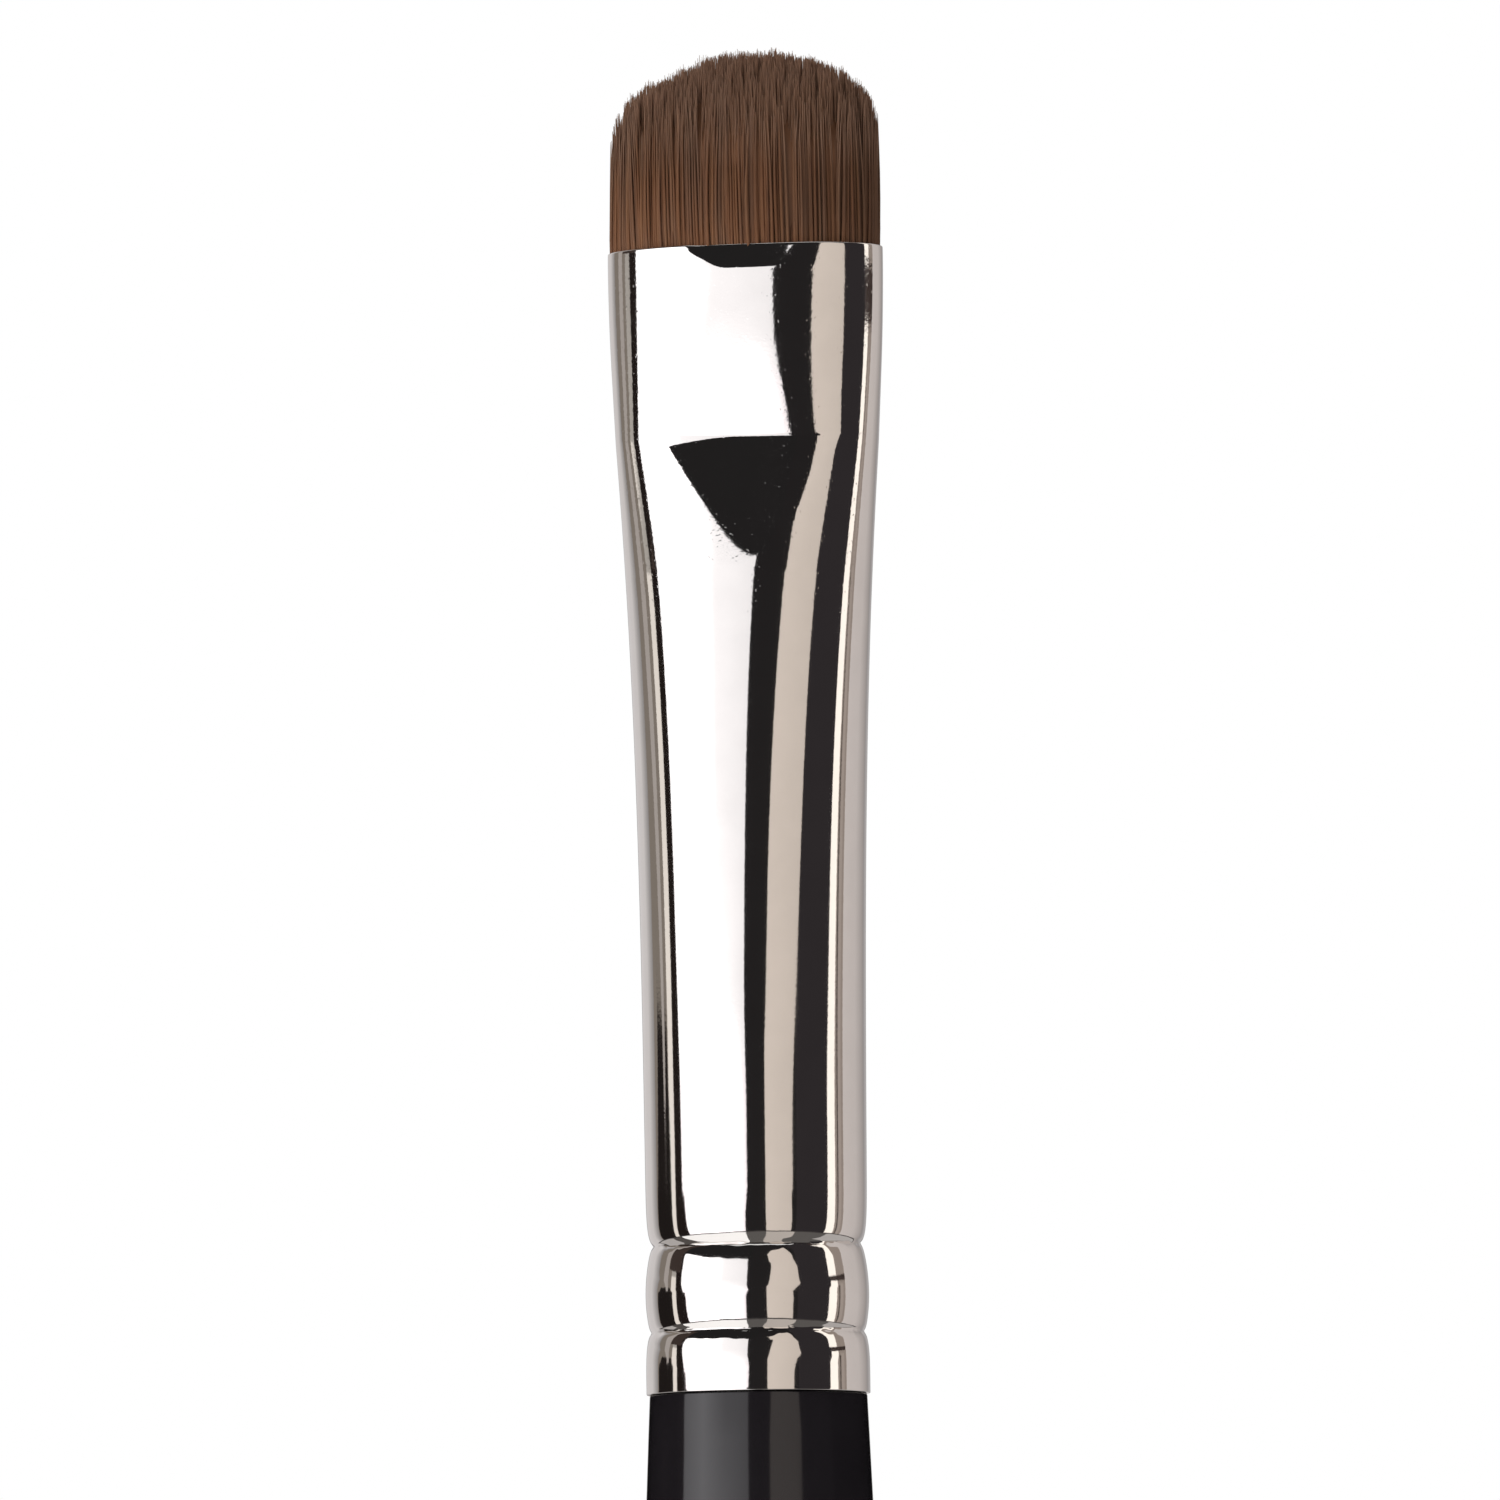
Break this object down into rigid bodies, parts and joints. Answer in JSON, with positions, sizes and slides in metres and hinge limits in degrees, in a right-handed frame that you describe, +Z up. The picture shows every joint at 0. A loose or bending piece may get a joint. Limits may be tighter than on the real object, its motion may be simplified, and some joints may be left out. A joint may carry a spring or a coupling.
{
  "type": "smudger brush",
  "caption": "Small pressed cosmetic brush with a short domed hair tuft, a crimped polished metal ferrule and a slim turned black handle.",
  "frame": {"origin": "centre of the flat end of the handle, the lowest point of the upright brush", "axes": "+Z up along the brush from the handle's end to the hair tips, X across the flat width of the tuft, Y through its thickness"},
  "size_m": [0.009, 0.0086, 0.1703],
  "materials": {
    "hair": "soft brown hair",
    "thread": "matt linen thread",
    "resin": "set clear resin",
    "nickel": "polished nickel plate",
    "glue": "set amber adhesive",
    "lacquer": "gloss black lacquer on wood"
  },
  "bodies": {
    "root": {"hair_tuft": "hair", "binding_thread": "thread", "root_glue": "resin", "ferrule": "nickel", "tenon_glue": "glue", "handle": "lacquer"}
  },
  "joints": []
}
